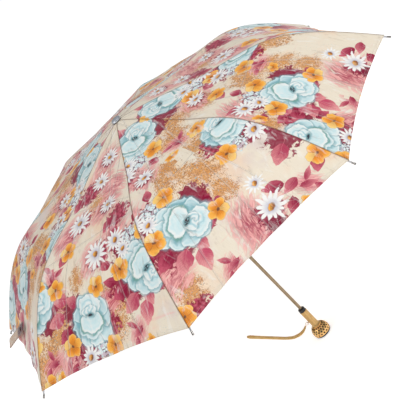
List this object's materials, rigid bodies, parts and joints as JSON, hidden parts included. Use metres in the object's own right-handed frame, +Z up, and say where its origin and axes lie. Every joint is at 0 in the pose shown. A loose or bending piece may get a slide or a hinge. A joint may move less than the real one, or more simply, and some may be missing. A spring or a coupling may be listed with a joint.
{
  "type": "folding umbrella",
  "caption": "Open compact folding umbrella: printed satin canopy on jointed steel ribs, telescopic shaft, short gold grip with pierced ball knob and woven wrist strap.",
  "frame": {"origin": "centre of the flat bottom of the handle's knob", "axes": "+Z up the shaft to the crown, +X over the first rib"},
  "size_m": [0.947, 0.947, 0.6197],
  "materials": {
    "rib_steel": "satin",
    "tip_metal": "polished",
    "shaft_bronze": "anodised",
    "black_plastic": "matte",
    "black_enamel": "gloss",
    "gold": "satin",
    "gold_cord": "woven",
    "silver_cap": "polished",
    "snap_metal": "dark plated",
    "printed_satin": "satin weave, floral print"
  },
  "bodies": {
    "handle": {"lower_tube": "shaft_bronze", "handle_collar": "black_plastic", "grip_sleeve": "gold", "knob_shell": "gold", "knob_core": "black_enamel", "knob_base": "black_enamel", "knob_screw": "rib_steel"},
    "strap_ring": {"strap_ring": "gold"},
    "wrist_strap": {"wrist_strap": "gold_cord"},
    "middle_tube": {"middle_tube": "shaft_bronze"},
    "crown": {"top_tube": "shaft_bronze", "crown": "black_plastic", "crown_wire": "rib_steel", "cap_washer": "black_enamel", "top_cap": "silver_cap", "canopy": "printed_satin"},
    "runner": {"runner": "black_plastic"},
    "runner_catch": {"runner_catch": "black_plastic"},
    "top_rib_1": {"top_rib_1": "rib_steel"},
    "mid_rib_1": {"mid_rib_1": "rib_steel"},
    "outer_rib_1": {"outer_rib_1": "rib_steel", "rib_tip_1": "tip_metal"},
    "stretcher_1": {"stretcher_1": "rib_steel"},
    "top_rib_2": {"top_rib_2": "rib_steel"},
    "mid_rib_2": {"mid_rib_2": "rib_steel"},
    "outer_rib_2": {"outer_rib_2": "rib_steel", "rib_tip_2": "tip_metal"},
    "stretcher_2": {"stretcher_2": "rib_steel"},
    "top_rib_3": {"top_rib_3": "rib_steel"},
    "mid_rib_3": {"mid_rib_3": "rib_steel"},
    "outer_rib_3": {"outer_rib_3": "rib_steel", "rib_tip_3": "tip_metal"},
    "stretcher_3": {"stretcher_3": "rib_steel"},
    "top_rib_4": {"top_rib_4": "rib_steel"},
    "mid_rib_4": {"mid_rib_4": "rib_steel"},
    "outer_rib_4": {"outer_rib_4": "rib_steel", "rib_tip_4": "tip_metal"},
    "stretcher_4": {"stretcher_4": "rib_steel"},
    "top_rib_5": {"top_rib_5": "rib_steel"},
    "mid_rib_5": {"mid_rib_5": "rib_steel"},
    "outer_rib_5": {"outer_rib_5": "rib_steel", "rib_tip_5": "tip_metal", "tie_strap": "printed_satin", "tie_snap": "snap_metal"},
    "stretcher_5": {"stretcher_5": "rib_steel"},
    "top_rib_6": {"top_rib_6": "rib_steel"},
    "mid_rib_6": {"mid_rib_6": "rib_steel"},
    "outer_rib_6": {"outer_rib_6": "rib_steel", "rib_tip_6": "tip_metal"},
    "stretcher_6": {"stretcher_6": "rib_steel"},
    "top_rib_7": {"top_rib_7": "rib_steel"},
    "mid_rib_7": {"mid_rib_7": "rib_steel"},
    "outer_rib_7": {"outer_rib_7": "rib_steel", "rib_tip_7": "tip_metal"},
    "stretcher_7": {"stretcher_7": "rib_steel"},
    "top_rib_8": {"top_rib_8": "rib_steel"},
    "mid_rib_8": {"mid_rib_8": "rib_steel"},
    "outer_rib_8": {"outer_rib_8": "rib_steel", "rib_tip_8": "tip_metal"},
    "stretcher_8": {"stretcher_8": "rib_steel"}
  },
  "joints": [
    {"name": "middle_slide", "type": "slide", "parent": "handle", "child": "middle_tube", "axis": [0, 0, -1], "range_m": [0, 0.154]},
    {"name": "top_slide", "type": "slide", "parent": "middle_tube", "child": "crown", "axis": [0, 0, -1], "range_m": [0, 0.15]},
    {"name": "runner_slide", "type": "slide", "parent": "crown", "child": "runner", "axis": [0, 0, -1], "range_m": [0, 0.1333], "deforming": ["canopy"]},
    {"name": "catch_press", "type": "hinge", "parent": "runner", "child": "runner_catch", "pos_m": [0.0061, 0.00253, 0.5243], "axis": [-0.3827, 0.9239, 0], "range_deg": [0, 8]},
    {"name": "ring_swing", "type": "hinge", "parent": "handle", "child": "strap_ring", "pos_m": [-0.00875, -0.00284, 0.0395], "axis": [0.309, -0.9511, 0], "range_deg": [0, 20]},
    {"name": "strap_swing", "type": "hinge", "parent": "strap_ring", "child": "wrist_strap", "pos_m": [-0.01446, -0.0047, 0.039], "axis": [0.309, -0.9511, 0], "range_deg": [0, 40]},
    {"name": "top_hinge_1", "type": "hinge", "parent": "crown", "child": "top_rib_1", "pos_m": [0.009, 0, 0.605], "axis": [0, 1, 0], "range_deg": [0, 78.62]},
    {"name": "mid_hinge_1", "type": "hinge", "parent": "top_rib_1", "child": "mid_rib_1", "pos_m": [0.1673, 0, 0.57553], "axis": [0, -1, 0], "range_deg": [0, 180.62]},
    {"name": "outer_hinge_1", "type": "hinge", "parent": "mid_rib_1", "child": "outer_rib_1", "pos_m": [0.31889, 0, 0.5384], "axis": [0, 1, 0], "range_deg": [0, 152.02]},
    {"name": "stretcher_hinge_1", "type": "hinge", "parent": "top_rib_1", "child": "stretcher_1", "pos_m": [0.10213, 0, 0.58622], "axis": [0, -1, 0], "range_deg": [0, 141.3]},
    {"name": "top_hinge_2", "type": "hinge", "parent": "crown", "child": "top_rib_2", "pos_m": [0.00636, -0.00636, 0.605], "axis": [0.7071, 0.7071, 0], "range_deg": [0, 78.62]},
    {"name": "mid_hinge_2", "type": "hinge", "parent": "top_rib_2", "child": "mid_rib_2", "pos_m": [0.1183, -0.1183, 0.57553], "axis": [-0.7071, -0.7071, 0], "range_deg": [0, 180.62]},
    {"name": "outer_hinge_2", "type": "hinge", "parent": "mid_rib_2", "child": "outer_rib_2", "pos_m": [0.22549, -0.22549, 0.5384], "axis": [0.7071, 0.7071, 0], "range_deg": [0, 152.02]},
    {"name": "stretcher_hinge_2", "type": "hinge", "parent": "top_rib_2", "child": "stretcher_2", "pos_m": [0.07221, -0.07221, 0.58622], "axis": [-0.7071, -0.7071, 0], "range_deg": [0, 141.3]},
    {"name": "top_hinge_3", "type": "hinge", "parent": "crown", "child": "top_rib_3", "pos_m": [0, -0.009, 0.605], "axis": [1, 0, 0], "range_deg": [0, 78.62]},
    {"name": "mid_hinge_3", "type": "hinge", "parent": "top_rib_3", "child": "mid_rib_3", "pos_m": [0, -0.1673, 0.57553], "axis": [-1, 0, 0], "range_deg": [0, 180.62]},
    {"name": "outer_hinge_3", "type": "hinge", "parent": "mid_rib_3", "child": "outer_rib_3", "pos_m": [0, -0.31889, 0.5384], "axis": [1, 0, 0], "range_deg": [0, 152.02]},
    {"name": "stretcher_hinge_3", "type": "hinge", "parent": "top_rib_3", "child": "stretcher_3", "pos_m": [0, -0.10213, 0.58622], "axis": [-1, 0, 0], "range_deg": [0, 141.3]},
    {"name": "top_hinge_4", "type": "hinge", "parent": "crown", "child": "top_rib_4", "pos_m": [-0.00636, -0.00636, 0.605], "axis": [0.7071, -0.7071, 0], "range_deg": [0, 78.62]},
    {"name": "mid_hinge_4", "type": "hinge", "parent": "top_rib_4", "child": "mid_rib_4", "pos_m": [-0.1183, -0.1183, 0.57553], "axis": [-0.7071, 0.7071, 0], "range_deg": [0, 180.62]},
    {"name": "outer_hinge_4", "type": "hinge", "parent": "mid_rib_4", "child": "outer_rib_4", "pos_m": [-0.22549, -0.22549, 0.5384], "axis": [0.7071, -0.7071, 0], "range_deg": [0, 152.02]},
    {"name": "stretcher_hinge_4", "type": "hinge", "parent": "top_rib_4", "child": "stretcher_4", "pos_m": [-0.07221, -0.07221, 0.58622], "axis": [-0.7071, 0.7071, 0], "range_deg": [0, 141.3]},
    {"name": "top_hinge_5", "type": "hinge", "parent": "crown", "child": "top_rib_5", "pos_m": [-0.009, 0, 0.605], "axis": [0, -1, 0], "range_deg": [0, 78.62]},
    {"name": "mid_hinge_5", "type": "hinge", "parent": "top_rib_5", "child": "mid_rib_5", "pos_m": [-0.1673, 0, 0.57553], "axis": [0, 1, 0], "range_deg": [0, 180.62]},
    {"name": "outer_hinge_5", "type": "hinge", "parent": "mid_rib_5", "child": "outer_rib_5", "pos_m": [-0.31889, 0, 0.5384], "axis": [0, -1, 0], "range_deg": [0, 152.02]},
    {"name": "stretcher_hinge_5", "type": "hinge", "parent": "top_rib_5", "child": "stretcher_5", "pos_m": [-0.10213, 0, 0.58622], "axis": [0, 1, 0], "range_deg": [0, 141.3]},
    {"name": "top_hinge_6", "type": "hinge", "parent": "crown", "child": "top_rib_6", "pos_m": [-0.00636, 0.00636, 0.605], "axis": [-0.7071, -0.7071, 0], "range_deg": [0, 78.62]},
    {"name": "mid_hinge_6", "type": "hinge", "parent": "top_rib_6", "child": "mid_rib_6", "pos_m": [-0.1183, 0.1183, 0.57553], "axis": [0.7071, 0.7071, 0], "range_deg": [0, 180.62]},
    {"name": "outer_hinge_6", "type": "hinge", "parent": "mid_rib_6", "child": "outer_rib_6", "pos_m": [-0.22549, 0.22549, 0.5384], "axis": [-0.7071, -0.7071, 0], "range_deg": [0, 152.02]},
    {"name": "stretcher_hinge_6", "type": "hinge", "parent": "top_rib_6", "child": "stretcher_6", "pos_m": [-0.07221, 0.07221, 0.58622], "axis": [0.7071, 0.7071, 0], "range_deg": [0, 141.3]},
    {"name": "top_hinge_7", "type": "hinge", "parent": "crown", "child": "top_rib_7", "pos_m": [0, 0.009, 0.605], "axis": [-1, 0, 0], "range_deg": [0, 78.62]},
    {"name": "mid_hinge_7", "type": "hinge", "parent": "top_rib_7", "child": "mid_rib_7", "pos_m": [0, 0.1673, 0.57553], "axis": [1, 0, 0], "range_deg": [0, 180.62]},
    {"name": "outer_hinge_7", "type": "hinge", "parent": "mid_rib_7", "child": "outer_rib_7", "pos_m": [0, 0.31889, 0.5384], "axis": [-1, 0, 0], "range_deg": [0, 152.02]},
    {"name": "stretcher_hinge_7", "type": "hinge", "parent": "top_rib_7", "child": "stretcher_7", "pos_m": [0, 0.10213, 0.58622], "axis": [1, 0, 0], "range_deg": [0, 141.3]},
    {"name": "top_hinge_8", "type": "hinge", "parent": "crown", "child": "top_rib_8", "pos_m": [0.00636, 0.00636, 0.605], "axis": [-0.7071, 0.7071, 0], "range_deg": [0, 78.62]},
    {"name": "mid_hinge_8", "type": "hinge", "parent": "top_rib_8", "child": "mid_rib_8", "pos_m": [0.1183, 0.1183, 0.57553], "axis": [0.7071, -0.7071, 0], "range_deg": [0, 180.62]},
    {"name": "outer_hinge_8", "type": "hinge", "parent": "mid_rib_8", "child": "outer_rib_8", "pos_m": [0.22549, 0.22549, 0.5384], "axis": [-0.7071, 0.7071, 0], "range_deg": [0, 152.02]},
    {"name": "stretcher_hinge_8", "type": "hinge", "parent": "top_rib_8", "child": "stretcher_8", "pos_m": [0.07221, 0.07221, 0.58622], "axis": [0.7071, -0.7071, 0], "range_deg": [0, 141.3]}
  ],
  "couplings": [
    {"joint": "top_hinge_1", "follows": "runner_slide", "rad_per_m": 10.291},
    {"joint": "mid_hinge_1", "follows": "runner_slide", "rad_per_m": 23.647},
    {"joint": "outer_hinge_1", "follows": "runner_slide", "rad_per_m": 19.902},
    {"joint": "stretcher_hinge_1", "follows": "runner_slide", "rad_per_m": 18.498},
    {"joint": "top_hinge_2", "follows": "runner_slide", "rad_per_m": 10.291},
    {"joint": "mid_hinge_2", "follows": "runner_slide", "rad_per_m": 23.647},
    {"joint": "outer_hinge_2", "follows": "runner_slide", "rad_per_m": 19.902},
    {"joint": "stretcher_hinge_2", "follows": "runner_slide", "rad_per_m": 18.498},
    {"joint": "top_hinge_3", "follows": "runner_slide", "rad_per_m": 10.291},
    {"joint": "mid_hinge_3", "follows": "runner_slide", "rad_per_m": 23.647},
    {"joint": "outer_hinge_3", "follows": "runner_slide", "rad_per_m": 19.902},
    {"joint": "stretcher_hinge_3", "follows": "runner_slide", "rad_per_m": 18.498},
    {"joint": "top_hinge_4", "follows": "runner_slide", "rad_per_m": 10.291},
    {"joint": "mid_hinge_4", "follows": "runner_slide", "rad_per_m": 23.647},
    {"joint": "outer_hinge_4", "follows": "runner_slide", "rad_per_m": 19.902},
    {"joint": "stretcher_hinge_4", "follows": "runner_slide", "rad_per_m": 18.498},
    {"joint": "top_hinge_5", "follows": "runner_slide", "rad_per_m": 10.291},
    {"joint": "mid_hinge_5", "follows": "runner_slide", "rad_per_m": 23.647},
    {"joint": "outer_hinge_5", "follows": "runner_slide", "rad_per_m": 19.902},
    {"joint": "stretcher_hinge_5", "follows": "runner_slide", "rad_per_m": 18.498},
    {"joint": "top_hinge_6", "follows": "runner_slide", "rad_per_m": 10.291},
    {"joint": "mid_hinge_6", "follows": "runner_slide", "rad_per_m": 23.647},
    {"joint": "outer_hinge_6", "follows": "runner_slide", "rad_per_m": 19.902},
    {"joint": "stretcher_hinge_6", "follows": "runner_slide", "rad_per_m": 18.498},
    {"joint": "top_hinge_7", "follows": "runner_slide", "rad_per_m": 10.291},
    {"joint": "mid_hinge_7", "follows": "runner_slide", "rad_per_m": 23.647},
    {"joint": "outer_hinge_7", "follows": "runner_slide", "rad_per_m": 19.902},
    {"joint": "stretcher_hinge_7", "follows": "runner_slide", "rad_per_m": 18.498},
    {"joint": "top_hinge_8", "follows": "runner_slide", "rad_per_m": 10.291},
    {"joint": "mid_hinge_8", "follows": "runner_slide", "rad_per_m": 23.647},
    {"joint": "outer_hinge_8", "follows": "runner_slide", "rad_per_m": 19.902},
    {"joint": "stretcher_hinge_8", "follows": "runner_slide", "rad_per_m": 18.498}
  ]
}
